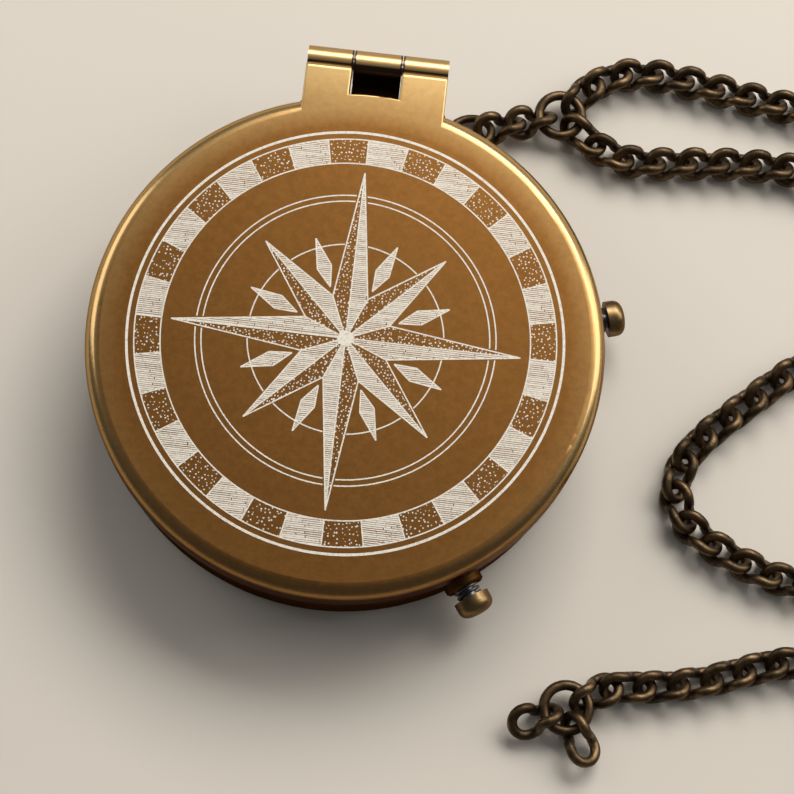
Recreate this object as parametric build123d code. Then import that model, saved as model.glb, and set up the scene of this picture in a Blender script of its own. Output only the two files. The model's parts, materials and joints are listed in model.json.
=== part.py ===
from build123d import *
import os
from math import asin, cos, radians, sin

# Pocket compass with a hinged lid, lying on its back with the chain beside it.
# Millimetres. The origin is the centre of the base, +Z points out of the lid,
# and the hinge is toward +Y. Clock angles run clockwise from the hinge as seen from above.

# Running and seating clearances
RUN_GAP = 0.05
SEAT_GAP = 0.02
LOOSE_GAP = 0.2
CUT_OVERRUN = 1.0

# Case
CASE_RADIUS = 24.6
CASE_WALL = 1.3
CASE_FLOOR = 1.0
CASE_ROUNDING = 1.4

# Lid
LID_OVERHANG = 0.4
LID_HEIGHT = 3.95
LID_WALL = 0.9
LID_PLATE = 1.0
LID_ROUNDING = 1.5
LID_SEAT_GAP = 0.05

# Hinge
HINGE_RISE = 1.35
HINGE_WIDTH = 14.1
CENTRE_KNUCKLE_WIDTH = 4.8
KNUCKLE_GAP = 0.08
PIN_RADIUS = 0.6
PIN_HEAD_SHARE = 0.25
BARREL_WALL = 0.85
BARREL_OVERHANG = 1.1
EAR_LENGTH = 2.9
EAR_DEPTH = 1.2
EAR_FLARE = 1.0
EAR_WEB_DROP = 0.2
EAR_ROUNDING = 0.6
EAR_EDGE = 0.2
LUG_TOP_DROP = 0.5
LUG_HEIGHT = 5.8
LUG_FOOT_REACH = 1.0
LUG_ROOT_DEPTH = 1.5

# Compass stack inside the case
STACK_MARGIN = 1.3
SPACER_WIDTH = 2.45
DIAL_CAM_GAP = 0.1
DIAL_THICKNESS = 0.5
DIAL_HOLE_GAP = 0.5
CHAPTER_FOOT_WIDTH = 1.8
CHAPTER_TOP_WIDTH = 0.8
GASKET_THICKNESS = 0.3
GASKET_WIDTH = 0.7
CRYSTAL_THICKNESS = 1.0
CRYSTAL_BEVEL = 0.25
CRYSTAL_GAP = 0.15
BEZEL_LIP = 1.1
BEZEL_FLANGE = 0.5
BEZEL_BEVEL = 0.35
BEZEL_SKIRT = 1.3
BEZEL_RISE = 1.0

# Needle and pivot
PIVOT_RADIUS = 0.45
PIVOT_FLANGE_RADIUS = 2.0
PIVOT_FLANGE_THICKNESS = 0.5
PIVOT_RISE = 0.05
PIVOT_CONE_HEIGHT = 1.1
PIVOT_TIP_RADIUS = 0.04
NEEDLE_CLEARANCE = 1.6
NEEDLE_THICKNESS = 0.25
NEEDLE_END_GAP = 2.6
NEEDLE_SHOULDER = 1.0
CAP_WALL = 0.5
CAP_FLANGE_WIDTH = 0.6
CAP_FLANGE_THICKNESS = 0.1
CAP_ROOF = 0.35
CAP_BEVEL = 0.25
JEWEL_RADIUS = 0.6
JEWEL_HEIGHT = 0.5
JEWEL_CUP_RADIUS = 0.4

# Push buttons
LATCH_CLOCK = 146.0
LOCK_CLOCK = 74.0
STEM_RADIUS = 0.8
STEM_FLANGE_WIDTH = 0.35
STEM_FLANGE_THICKNESS = 0.5
FLANGE_POCKET_DEPTH = 0.8
SHANK_WALL = 0.45
COLLAR_SHOULDER = 0.35
COLLAR_REACH = 0.9
COLLAR_RIM_BEVEL = 0.2
HEAD_INSET = 0.15
HEAD_RIM = 0.7
HEAD_DOME = 1.1
HEAD_STANDOFF = 1.05
SPRING_WIRE = 0.3
SPRING_TURNS = 3
SPRING_INNER_GAP = 0.17
SPRING_OUTER_GAP = 0.13
SPRING_POCKET_DEPTH = 0.6
WINDOW_MARGIN = 1.0
LATCH_TIP_GAP = 0.1

# Needle lock
CAM_TIP_RADIUS = 0.3
CAM_FLARE = 0.7
CAM_LENGTH = 1.2
CAM_GAP = 0.1
CAM_START_GAP = 0.2
LEVER_RISE = 0.9
LEVER_WIDTH = 2.4
LEVER_THICKNESS = 0.4
LEVER_RING_WIDTH = 0.8
LEVER_TAIL_GAP = 1.0
SLEEVE_GAP = 0.45
SLEEVE_WALL = 0.5
SLEEVE_LIFT_GAP = 0.7
FULCRUM_REACH = 11.0
FULCRUM_PIN_RADIUS = 0.35
FULCRUM_BARREL_WALL = 0.35
FULCRUM_BARREL_GAP = 0.3
CHEEK_THICKNESS = 0.6
CHEEK_GAP = 0.2
CHEEK_LENGTH = 2.2
BRACKET_THICKNESS = 0.5
BRACKET_END_MARGIN = 0.25
SCREW_RADIUS = 0.5
SCREW_HEAD_RADIUS = 0.85
SCREW_HEAD_HEIGHT = 0.4
SCREW_SIDE_GAP = 0.15
SCREW_DEPTH = 0.6
SLOT_WIDTH = 0.25
SLOT_DEPTH = 0.15

# Lid catch, a spring strip inside the lid
CATCH_WIDTH = 3.0
CATCH_THICKNESS = 0.4
CATCH_WALL_GAP = 0.35
CATCH_FOOT_GAP = 0.1
CATCH_FOOT_DROP = 0.5
CATCH_TAIL = 0.8
CATCH_SIDE_GAP = 0.5
CATCH_NOSE_DEPTH = 1.8
CATCH_NOSE_DROP = 0.7
CATCH_NOSE_BITE = 0.3
RECESS_END_GAP = 0.25
RECESS_MARGIN = 0.15

# Bow on the case wall
BOW_CLOCK = 21.0
BOW_RING_RADIUS = 2.1
BOW_WIRE = 0.85
BOW_TILT = 27.0
BOW_HANG_ANGLE = 128.0
EYE_STANDOFF = 1.7
EYE_CLEARANCE = 0.375
EYE_RIM = 0.55
EYE_THICKNESS = 1.0

# Chain
LINK_WIRE = 1.0
LINK_END_RADIUS = 1.35
LINK_END_OFFSET = 1.0
LINK_TWIST = 42.0
LINK_SLACK = 0.4
RING_RADIUS = 2.2
RING_ROLLS = (16.0, 8.0)
NECK_ROLLS = (9.0, 16.0)
CHAIN_FLOOR_GAP = 0.02

# Route of the chain on the table, chosen by hand, as (x, y)
NECK_HEADING = 18.0
END_LINK_HEADINGS = (205.0, -62.0)
MAIN_ROUTE = [
    (22.5, 33.2), (25.4, 34.7), (28.8, 35.0), (36.0, 34.0), (43.2, 33.0), (50.0, 31.8),
    (57.0, 27.6), (60.2, 20.6), (58.2, 13.8), (52.0, 8.8), (44.9, 4.8), (40.6, 0.9),
    (37.0, -2.5), (34.8, -5.3), (33.9, -8.4), (35.0, -11.5), (37.7, -13.6), (41.4, -15.3),
    (46.1, -16.6), (51.5, -16.0), (57.5, -14.2), (63.4, -15.6), (66.6, -20.6), (64.6, -26.2),
    (59.0, -28.2), (53.4, -26.0), (48.8, -24.2), (44.0, -25.0), (38.3, -27.2), (34.9, -28.0),
    (31.6, -28.5), (28.5, -29.0), (26.3, -30.6), (24.5, -31.9),
]
BRANCH_ROUTE = [
    (22.5, 26.7), (25.5, 25.3), (28.9, 25.2), (32.4, 25.6), (36.9, 26.1), (42.0, 26.3),
    (47.0, 25.8), (50.6, 25.2),
]
ROUTE_SAMPLES = 4000

# Radii that follow from the sizes above
CASE_INNER_RADIUS = CASE_RADIUS - CASE_WALL
LID_RADIUS = CASE_RADIUS + LID_OVERHANG
LID_INNER_RADIUS = LID_RADIUS - LID_WALL
STACK_RADIUS = CASE_INNER_RADIUS - STACK_MARGIN
SPACER_INNER_RADIUS = CASE_INNER_RADIUS - RUN_GAP - SPACER_WIDTH
CHAPTER_FOOT_RADIUS = STACK_RADIUS - CHAPTER_FOOT_WIDTH
CHAPTER_TOP_RADIUS = STACK_RADIUS - CHAPTER_TOP_WIDTH
BEZEL_INNER_RADIUS = STACK_RADIUS - BEZEL_LIP
CAP_RADIUS = JEWEL_RADIUS + CAP_WALL
CAP_FLANGE_RADIUS = CAP_RADIUS + CAP_FLANGE_WIDTH
NEEDLE_HALF_WIDTH = CAP_RADIUS + NEEDLE_SHOULDER
NEEDLE_REACH = CHAPTER_FOOT_RADIUS - NEEDLE_END_GAP
SLEEVE_BORE = PIVOT_RADIUS + SLEEVE_GAP
SLEEVE_RADIUS = SLEEVE_BORE + SLEEVE_WALL
DIAL_HOLE_RADIUS = SLEEVE_RADIUS + DIAL_HOLE_GAP
LEVER_RING_RADIUS = SLEEVE_RADIUS + LEVER_RING_WIDTH
STEM_FLANGE_RADIUS = STEM_RADIUS + STEM_FLANGE_WIDTH
SHANK_RADIUS = STEM_FLANGE_RADIUS + SHANK_WALL
COLLAR_RADIUS = SHANK_RADIUS + COLLAR_SHOULDER
HEAD_RADIUS = COLLAR_RADIUS - HEAD_INSET
SPRING_RADIUS = STEM_RADIUS + SPRING_INNER_GAP + SPRING_WIRE / 2
SPRING_POCKET_RADIUS = SPRING_RADIUS + SPRING_WIRE / 2 + SPRING_OUTER_GAP
CAM_RADIUS = CAM_TIP_RADIUS + CAM_FLARE
FULCRUM_BARREL_RADIUS = FULCRUM_PIN_RADIUS + FULCRUM_BARREL_WALL
BARREL_RADIUS = PIN_RADIUS + BARREL_WALL
EYE_BORE = BOW_WIRE / 2 + EYE_CLEARANCE
EYE_RADIUS = EYE_BORE + EYE_RIM

# Heights, from the floor of the case up
FULCRUM_Z = CASE_FLOOR + BRACKET_THICKNESS + FULCRUM_BARREL_GAP + FULCRUM_BARREL_RADIUS
LEVER_TOP_Z = FULCRUM_Z + LEVER_RISE
BUTTON_Z = LEVER_TOP_Z + CAM_GAP + CAM_TIP_RADIUS
DIAL_Z = BUTTON_Z + CAM_RADIUS + DIAL_CAM_GAP
DIAL_TOP_Z = DIAL_Z + DIAL_THICKNESS
NEEDLE_Z = DIAL_TOP_Z + NEEDLE_CLEARANCE
PIVOT_TIP_Z = NEEDLE_Z + PIVOT_RISE
SLEEVE_TOP_Z = NEEDLE_Z - CAP_FLANGE_THICKNESS - SLEEVE_LIFT_GAP
CAP_HEIGHT = JEWEL_HEIGHT + CAP_ROOF - CAP_FLANGE_THICKNESS
CRYSTAL_Z = NEEDLE_Z + CAP_HEIGHT + CRYSTAL_GAP
CHAPTER_TOP_Z = CRYSTAL_Z - GASKET_THICKNESS
CRYSTAL_TOP_Z = CRYSTAL_Z + CRYSTAL_THICKNESS
BEZEL_SKIRT_Z = CRYSTAL_Z - BEZEL_SKIRT
BEZEL_TOP_Z = CRYSTAL_TOP_Z + BEZEL_FLANGE
CASE_HEIGHT = BEZEL_TOP_Z - BEZEL_RISE
LID_BASE_Z = CASE_HEIGHT + LID_SEAT_GAP
LID_TOP_Z = LID_BASE_Z + LID_HEIGHT
HINGE_Z = LID_BASE_Z + HINGE_RISE
LUG_FOOT_Z = CASE_HEIGHT - LUG_HEIGHT
CATCH_FOOT_TOP_Z = LID_TOP_Z - LID_PLATE - CATCH_FOOT_DROP
CATCH_END_Z = BUTTON_Z - CATCH_TAIL
CATCH_NOSE_Z = CASE_HEIGHT - CATCH_NOSE_DEPTH

# Reaches from the axis of the case
EAR_REACH = LID_RADIUS + EAR_LENGTH
HINGE_Y = EAR_REACH + BARREL_OVERHANG
CATCH_RADIUS = CASE_INNER_RADIUS - CATCH_WALL_GAP
CATCH_FOOT_RADIUS = LID_INNER_RADIUS - CATCH_FOOT_GAP
CATCH_NOSE_REACH = CASE_INNER_RADIUS + CATCH_NOSE_BITE
LATCH_TIP_REACH = CATCH_RADIUS + LATCH_TIP_GAP
LEVER_TAIL_REACH = SPACER_INNER_RADIUS - LEVER_TAIL_GAP
CAM_TIP_REACH = LEVER_TAIL_REACH + CAM_START_GAP
COLLAR_FACE = CASE_RADIUS + COLLAR_REACH
HEAD_BASE = COLLAR_FACE + HEAD_STANDOFF
STEM_POCKET_END = CASE_INNER_RADIUS + FLANGE_POCKET_DEPTH
STEM_FLANGE_OUTER = STEM_POCKET_END - RUN_GAP
STEM_FLANGE_INNER = STEM_FLANGE_OUTER - STEM_FLANGE_THICKNESS
SPRING_SEAT = COLLAR_FACE - SPRING_POCKET_DEPTH
EYE_REACH = CASE_RADIUS + EYE_STANDOFF

# Widths and lengths that follow
CATCH_WELL_WIDTH = CATCH_WIDTH + 2 * CATCH_SIDE_GAP
RECESS_DEPTH = CATCH_NOSE_BITE + RECESS_END_GAP
WINDOW_WIDTH = CATCH_WELL_WIDTH + 2 * WINDOW_MARGIN
SCREW_OFFSET = CHEEK_LENGTH / 2 + SCREW_HEAD_RADIUS + SCREW_SIDE_GAP
BRACKET_LENGTH = 2 * (SCREW_OFFSET + SCREW_HEAD_RADIUS + BRACKET_END_MARGIN)
LINK_HALF_LENGTH = LINK_END_OFFSET + LINK_END_RADIUS
LINK_REACH = (LINK_WIRE + LINK_SLACK) / 2
LINK_PITCH = 2 * (LINK_HALF_LENGTH - LINK_REACH)

BOTTOM = (Align.CENTER, Align.CENTER, Align.MIN)


def disc(radius, low, high):
    return Pos(0, 0, low) * Cylinder(radius, high - low, align=BOTTOM)


def ring(outer, inner, low, high):
    return disc(outer, low, high) - disc(inner, low - CUT_OVERRUN, high + CUT_OVERRUN)


def turned(points):
    """A solid of revolution about Z from (radius, height) points."""
    return revolve(Plane.XZ * make_face(Polyline(*points, close=True)), Axis.Z)


def rod(radius, start, end):
    """A cylinder along X."""
    return Pos(start, 0, 0) * Rot(0, 90, 0) * Cylinder(radius, end - start, align=BOTTOM)


def radial(clock, height=0.0):
    """A frame at the case axis whose Z points outward at a clock angle and whose Y is up."""
    outward = (sin(radians(clock)), cos(radians(clock)), 0)
    across = (-cos(radians(clock)), sin(radians(clock)), 0)
    return Plane(origin=(0, 0, height), x_dir=across, z_dir=outward)


def outward_block(clock, width, inner, outer, low, high):
    """A box that stands in a radial direction between two radii and two heights."""
    box = Pos(0, low, inner) * Box(
        width, high - low, outer - inner, align=(Align.CENTER, Align.MIN, Align.MIN)
    )
    return radial(clock) * box


def side_extrusion(points, width):
    """A (y, z) outline extruded along X, centred on the YZ plane."""
    return extrude(Plane.YZ * make_face(Polyline(*points, close=True)), width / 2, both=True)


def case_cup():
    outside = fillet(disc(CASE_RADIUS, 0, CASE_HEIGHT).edges().sort_by(Axis.Z)[0], CASE_ROUNDING)
    cup = outside - disc(CASE_INNER_RADIUS, CASE_FLOOR, CASE_HEIGHT + CUT_OVERRUN)
    for clock in (LATCH_CLOCK, LOCK_CLOCK):
        reach = CASE_RADIUS + CUT_OVERRUN
        hole = Pos(0, 0, STACK_RADIUS) * Cylinder(SHANK_RADIUS, reach - STACK_RADIUS, align=BOTTOM)
        cup -= radial(clock, BUTTON_Z) * hole
    cup -= outward_block(
        LATCH_CLOCK, CATCH_WELL_WIDTH, STACK_RADIUS, CASE_INNER_RADIUS + RECESS_DEPTH,
        CATCH_NOSE_Z - CATCH_NOSE_DROP - RECESS_MARGIN, CATCH_NOSE_Z + RECESS_MARGIN,
    )
    return cup


def case_hinge_lug():
    foot_y = CASE_RADIUS + LUG_FOOT_REACH
    root_y = CASE_RADIUS - LUG_ROOT_DEPTH
    top_z = CASE_HEIGHT - LUG_TOP_DROP
    outline = [
        (root_y, LUG_FOOT_Z), (foot_y, LUG_FOOT_Z), (HINGE_Y + BARREL_RADIUS, HINGE_Z),
        (HINGE_Y - BARREL_RADIUS, HINGE_Z), (HINGE_Y - BARREL_RADIUS, top_z), (root_y, top_z),
    ]
    barrel = Pos(0, HINGE_Y, HINGE_Z) * rod(
        BARREL_RADIUS, -CENTRE_KNUCKLE_WIDTH / 2, CENTRE_KNUCKLE_WIDTH / 2
    )
    bore = Pos(0, HINGE_Y, HINGE_Z) * rod(PIN_RADIUS + SEAT_GAP, -HINGE_WIDTH, HINGE_WIDTH)
    lug = side_extrusion(outline, CENTRE_KNUCKLE_WIDTH) + barrel
    return lug - bore - disc(CASE_RADIUS + SEAT_GAP, 0, LID_TOP_Z)


def hinge_pin():
    half = HINGE_WIDTH / 2
    pin = rod(PIN_RADIUS, -half, half)
    pin = chamfer(pin.edges().filter_by(GeomType.CIRCLE), PIN_RADIUS * PIN_HEAD_SHARE)
    return Pos(0, HINGE_Y, HINGE_Z) * pin


def lid_ears():
    half = HINGE_WIDTH / 2
    tab = Pos(0, EAR_REACH / 2) * Rectangle(HINGE_WIDTH, EAR_REACH)
    plan = Circle(LID_RADIUS) + tab
    roots = [v for v in plan.vertices() if abs(abs(v.X) - half) < SEAT_GAP and v.Y < LID_RADIUS]
    webs = fillet(roots, EAR_FLARE) - Circle(LID_RADIUS) - tab
    notch_width = CENTRE_KNUCKLE_WIDTH + 2 * KNUCKLE_GAP
    notch = Pos(0, LID_RADIUS) * Rectangle(notch_width, LID_RADIUS)
    tab = tab - Circle(LID_RADIUS - LID_ROUNDING) - (notch - Circle(LID_RADIUS))
    low_z = LID_TOP_Z - 2 * EAR_DEPTH
    bend_y = EAR_REACH - EAR_ROUNDING
    bend_z = LID_TOP_Z - EAR_ROUNDING
    outline = make_face([
        Line((LID_ROUNDING, LID_TOP_Z), (bend_y, LID_TOP_Z)),
        RadiusArc((bend_y, LID_TOP_Z), (EAR_REACH, bend_z), EAR_ROUNDING),
        Line((EAR_REACH, bend_z), (EAR_REACH, HINGE_Z)),
        Line((EAR_REACH, HINGE_Z), (bend_y, low_z)),
        Line((bend_y, low_z), (LID_ROUNDING, low_z)),
        Line((LID_ROUNDING, low_z), (LID_ROUNDING, LID_TOP_Z)),
    ])
    ears = extrude(tab, LID_TOP_Z) & extrude(Plane.YZ * outline, HINGE_WIDTH, both=True)
    inner_reach = LID_RADIUS - LID_ROUNDING + SEAT_GAP
    rims = []
    for edge in ears.faces().sort_by(Axis.Z)[-1].edges():
        middle = edge @ 0.5
        if middle.Y < bend_y - SEAT_GAP and Vector(middle.X, middle.Y, 0).length > inner_reach:
            rims.append(edge)
    ears = fillet(rims, EAR_EDGE)
    web_height = 2 * EAR_DEPTH - LID_ROUNDING - EAR_WEB_DROP
    return ears + Pos(0, 0, low_z) * extrude(webs, web_height)


def lid_shell():
    outside = disc(LID_RADIUS, LID_BASE_Z, LID_TOP_Z)
    outside = fillet(outside.edges().sort_by(Axis.Z)[-1], LID_ROUNDING)
    shell = outside + lid_ears()
    half = HINGE_WIDTH / 2
    inner = CENTRE_KNUCKLE_WIDTH / 2 + KNUCKLE_GAP
    hinge_axis = Pos(0, HINGE_Y, HINGE_Z)
    for start, end in ((-half, -inner), (inner, half)):
        shell += hinge_axis * rod(BARREL_RADIUS, start, end)
    shell -= hinge_axis * rod(PIN_RADIUS + RUN_GAP, -HINGE_WIDTH, HINGE_WIDTH)
    return shell - disc(LID_INNER_RADIUS, LID_BASE_Z - CUT_OVERRUN, LID_TOP_Z - LID_PLATE)


def lid_catch():
    inner = CATCH_RADIUS - CATCH_THICKNESS
    low = LID_BASE_Z + LOOSE_GAP
    high = low + CATCH_THICKNESS
    foot = CATCH_FOOT_RADIUS - CATCH_THICKNESS
    outline = [
        (CATCH_FOOT_TOP_Z, CATCH_FOOT_RADIUS), (low, CATCH_FOOT_RADIUS), (low, CATCH_RADIUS),
        (CATCH_NOSE_Z, CATCH_RADIUS), (CATCH_NOSE_Z, CATCH_NOSE_REACH),
        (CATCH_NOSE_Z - CATCH_NOSE_DROP, CATCH_RADIUS), (CATCH_END_Z, CATCH_RADIUS),
        (CATCH_END_Z, inner), (high, inner), (high, foot), (CATCH_FOOT_TOP_Z, foot),
    ]
    strip = extrude(
        Plane.YZ * make_face(Polyline(*outline, close=True)), CATCH_WIDTH / 2, both=True
    )
    return radial(LATCH_CLOCK) * strip


def dial_spacer():
    spacer = ring(CASE_INNER_RADIUS - RUN_GAP, SPACER_INNER_RADIUS, CASE_FLOOR, DIAL_Z)
    for clock in (LATCH_CLOCK, LOCK_CLOCK):
        spacer -= outward_block(
            clock, WINDOW_WIDTH, SPACER_INNER_RADIUS - CUT_OVERRUN, CASE_RADIUS,
            CASE_FLOOR + LOOSE_GAP, DIAL_Z + CUT_OVERRUN,
        )
    return spacer


def dial_plate():
    return ring(STACK_RADIUS, DIAL_HOLE_RADIUS, DIAL_Z, DIAL_TOP_Z)


def chapter_ring():
    return turned([
        (CHAPTER_FOOT_RADIUS, DIAL_TOP_Z), (STACK_RADIUS, DIAL_TOP_Z),
        (STACK_RADIUS, CHAPTER_TOP_Z), (CHAPTER_TOP_RADIUS, CHAPTER_TOP_Z),
    ])


def crystal_gasket():
    return ring(STACK_RADIUS, STACK_RADIUS - GASKET_WIDTH, CHAPTER_TOP_Z, CRYSTAL_Z)


def crystal():
    pane = disc(STACK_RADIUS, CRYSTAL_Z, CRYSTAL_TOP_Z)
    return chamfer(pane.edges().sort_by(Axis.Z)[-1], CRYSTAL_BEVEL)


def bezel_ring():
    outer = CASE_INNER_RADIUS - SEAT_GAP
    bezel = turned([
        (STACK_RADIUS + RUN_GAP, BEZEL_SKIRT_Z), (outer, BEZEL_SKIRT_Z), (outer, BEZEL_TOP_Z),
        (BEZEL_INNER_RADIUS + BEZEL_BEVEL, BEZEL_TOP_Z),
        (BEZEL_INNER_RADIUS, BEZEL_TOP_Z - BEZEL_BEVEL),
        (BEZEL_INNER_RADIUS, CRYSTAL_TOP_Z), (STACK_RADIUS + RUN_GAP, CRYSTAL_TOP_Z),
    ])
    well = outward_block(
        LATCH_CLOCK, CATCH_WELL_WIDTH, STACK_RADIUS + RUN_GAP, CASE_RADIUS,
        BEZEL_SKIRT_Z - CUT_OVERRUN, BEZEL_TOP_Z + CUT_OVERRUN,
    )
    return bezel - well


def pivot_post():
    flange_top = CASE_FLOOR + PIVOT_FLANGE_THICKNESS
    return turned([
        (0, CASE_FLOOR), (PIVOT_FLANGE_RADIUS, CASE_FLOOR), (PIVOT_FLANGE_RADIUS, flange_top),
        (PIVOT_RADIUS, flange_top), (PIVOT_RADIUS, PIVOT_TIP_Z - PIVOT_CONE_HEIGHT),
        (PIVOT_TIP_RADIUS, PIVOT_TIP_Z), (0, PIVOT_TIP_Z),
    ])


def needle_blade():
    outline = [
        (0, NEEDLE_REACH), (NEEDLE_HALF_WIDTH, 0), (0, -NEEDLE_REACH), (-NEEDLE_HALF_WIDTH, 0)
    ]
    blade = extrude(make_face(Polyline(*outline, close=True)), NEEDLE_THICKNESS)
    hole = disc(CAP_RADIUS + SEAT_GAP, -CUT_OVERRUN, CUT_OVERRUN)
    return Pos(0, 0, NEEDLE_Z) * (blade - hole)


def needle_cap():
    low = NEEDLE_Z - CAP_FLANGE_THICKNESS
    top = NEEDLE_Z + CAP_HEIGHT
    roof = low + JEWEL_HEIGHT
    bore = JEWEL_RADIUS + SEAT_GAP
    return turned([
        (bore, low), (CAP_FLANGE_RADIUS, low), (CAP_FLANGE_RADIUS, NEEDLE_Z),
        (CAP_RADIUS, NEEDLE_Z), (CAP_RADIUS, top - CAP_BEVEL), (CAP_RADIUS - CAP_BEVEL, top),
        (0, top), (0, roof + SEAT_GAP), (bore, roof + SEAT_GAP),
    ])


def needle_jewel():
    low = NEEDLE_Z - CAP_FLANGE_THICKNESS
    apex = PIVOT_TIP_Z + SEAT_GAP
    return turned([
        (JEWEL_CUP_RADIUS, low), (JEWEL_RADIUS, low), (JEWEL_RADIUS, low + JEWEL_HEIGHT),
        (0, low + JEWEL_HEIGHT), (0, apex), (2 * PIVOT_TIP_RADIUS, apex),
    ])


def button_collar(clock):
    """The bush in the case wall, with a pocket for the spring and one for the stem flange."""
    collar = disc(COLLAR_RADIUS, CASE_RADIUS - CASE_WALL, COLLAR_FACE)
    collar = chamfer(collar.edges().sort_by(Axis.Z)[-1], COLLAR_RIM_BEVEL)
    collar = radial(clock, BUTTON_Z) * collar - disc(CASE_RADIUS + SEAT_GAP, 0, CASE_HEIGHT)
    shank = disc(SHANK_RADIUS - SEAT_GAP, CASE_INNER_RADIUS, CASE_RADIUS + COLLAR_REACH / 2)
    collar += radial(clock, BUTTON_Z) * shank
    bores = disc(STEM_RADIUS + RUN_GAP, STACK_RADIUS, COLLAR_FACE + CUT_OVERRUN)
    bores += disc(SPRING_POCKET_RADIUS, SPRING_SEAT, COLLAR_FACE + CUT_OVERRUN)
    bores += disc(STEM_FLANGE_RADIUS + RUN_GAP, STACK_RADIUS, STEM_POCKET_END)
    return collar - radial(clock, BUTTON_Z) * bores


def button_head(clock):
    bore = STEM_RADIUS + SEAT_GAP
    rim = HEAD_BASE + HEAD_RIM
    crown = rim + HEAD_DOME
    profile = make_face([
        Line((bore, HEAD_BASE), (HEAD_RADIUS, HEAD_BASE)),
        Line((HEAD_RADIUS, HEAD_BASE), (HEAD_RADIUS, rim)),
        Spline((HEAD_RADIUS, rim), (0, crown), tangents=((0, 1), (-1, 0))),
        Line((0, crown), (0, rim)),
        Line((0, rim), (bore, rim)),
        Line((bore, rim), (bore, HEAD_BASE)),
    ])
    return radial(clock, BUTTON_Z) * revolve(Plane.XZ * profile, Axis.Z)


def latch_stem():
    """The release button's stem ends in a blunt tip that bends the lid catch inward."""
    rim = HEAD_BASE + HEAD_RIM - SEAT_GAP
    stem = disc(STEM_RADIUS, LATCH_TIP_REACH, rim)
    stem += disc(STEM_FLANGE_RADIUS, STEM_FLANGE_INNER, STEM_FLANGE_OUTER)
    return radial(LATCH_CLOCK, BUTTON_Z) * stem


def lock_stem():
    """The lock button's stem runs on under the dial and ends in a conical cam."""
    rim = HEAD_BASE + HEAD_RIM - SEAT_GAP
    cam_end = CAM_TIP_REACH + CAM_LENGTH
    cam = turned([
        (0, CAM_TIP_REACH), (CAM_TIP_RADIUS, CAM_TIP_REACH), (CAM_RADIUS, cam_end),
        (STEM_RADIUS, cam_end), (STEM_RADIUS, STEM_FLANGE_INNER),
        (STEM_FLANGE_RADIUS, STEM_FLANGE_INNER), (STEM_FLANGE_RADIUS, STEM_FLANGE_OUTER),
        (STEM_RADIUS, STEM_FLANGE_OUTER), (STEM_RADIUS, rim), (0, rim),
    ])
    return radial(LOCK_CLOCK, BUTTON_Z) * cam


def button_spring(clock):
    low = SPRING_SEAT + SPRING_WIRE / 2 + SEAT_GAP
    high = HEAD_BASE - SPRING_WIRE / 2 - SEAT_GAP
    coil = Helix(pitch=(high - low) / SPRING_TURNS, height=high - low, radius=SPRING_RADIUS)
    section = Plane(coil @ 0, z_dir=coil % 0) * Circle(SPRING_WIRE / 2)
    return radial(clock, BUTTON_Z) * Pos(0, 0, low) * sweep(section, path=coil, is_frenet=True)


def lifter_lever():
    low = LEVER_TOP_Z - LEVER_THICKNESS
    arm = outward_block(LOCK_CLOCK, LEVER_WIDTH, 0, LEVER_TAIL_REACH, low, LEVER_TOP_Z)
    barrel = rod(FULCRUM_BARREL_RADIUS, -LEVER_WIDTH / 2, LEVER_WIDTH / 2)
    bore = rod(FULCRUM_PIN_RADIUS + RUN_GAP, -LEVER_WIDTH, LEVER_WIDTH)
    at_fulcrum = radial(LOCK_CLOCK, FULCRUM_Z) * Pos(0, 0, FULCRUM_REACH)
    lever = arm + disc(LEVER_RING_RADIUS, low, LEVER_TOP_Z) + at_fulcrum * barrel
    return lever - at_fulcrum * bore - disc(SLEEVE_RADIUS + SEAT_GAP, 0, DIAL_TOP_Z)


def lifter_sleeve():
    return ring(SLEEVE_RADIUS, SLEEVE_BORE, LEVER_TOP_Z - LEVER_THICKNESS, SLEEVE_TOP_Z)


def lifter_bracket():
    inner = LEVER_WIDTH / 2 + CHEEK_GAP
    width = 2 * (inner + CHEEK_THICKNESS)
    plate_top = CASE_FLOOR + BRACKET_THICKNESS
    half = CHEEK_LENGTH / 2
    long_half = BRACKET_LENGTH / 2
    bracket = outward_block(
        LOCK_CLOCK, width, FULCRUM_REACH - long_half, FULCRUM_REACH + long_half,
        CASE_FLOOR, plate_top,
    )
    cheek = outward_block(
        LOCK_CLOCK, width, FULCRUM_REACH - half, FULCRUM_REACH + half,
        plate_top, FULCRUM_Z + FULCRUM_BARREL_RADIUS,
    )
    cheek -= outward_block(
        LOCK_CLOCK, 2 * inner, FULCRUM_REACH - BRACKET_LENGTH, FULCRUM_REACH + BRACKET_LENGTH,
        plate_top, DIAL_Z,
    )
    bracket += cheek
    at_fulcrum = radial(LOCK_CLOCK, FULCRUM_Z) * Pos(0, 0, FULCRUM_REACH)
    bracket -= at_fulcrum * rod(FULCRUM_PIN_RADIUS + SEAT_GAP, -width, width)
    for place in screw_places():
        bracket -= place * disc(SCREW_RADIUS + SEAT_GAP, 0, DIAL_Z)
    return bracket


def fulcrum_pin():
    half = LEVER_WIDTH / 2 + CHEEK_GAP + CHEEK_THICKNESS
    pin = rod(FULCRUM_PIN_RADIUS, -half, half)
    return radial(LOCK_CLOCK, FULCRUM_Z) * Pos(0, 0, FULCRUM_REACH) * pin


def screw_places():
    places = []
    for side in (-1, 1):
        reach = FULCRUM_REACH + side * SCREW_OFFSET
        places.append(Pos(reach * sin(radians(LOCK_CLOCK)), reach * cos(radians(LOCK_CLOCK)), 0))
    return places


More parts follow.
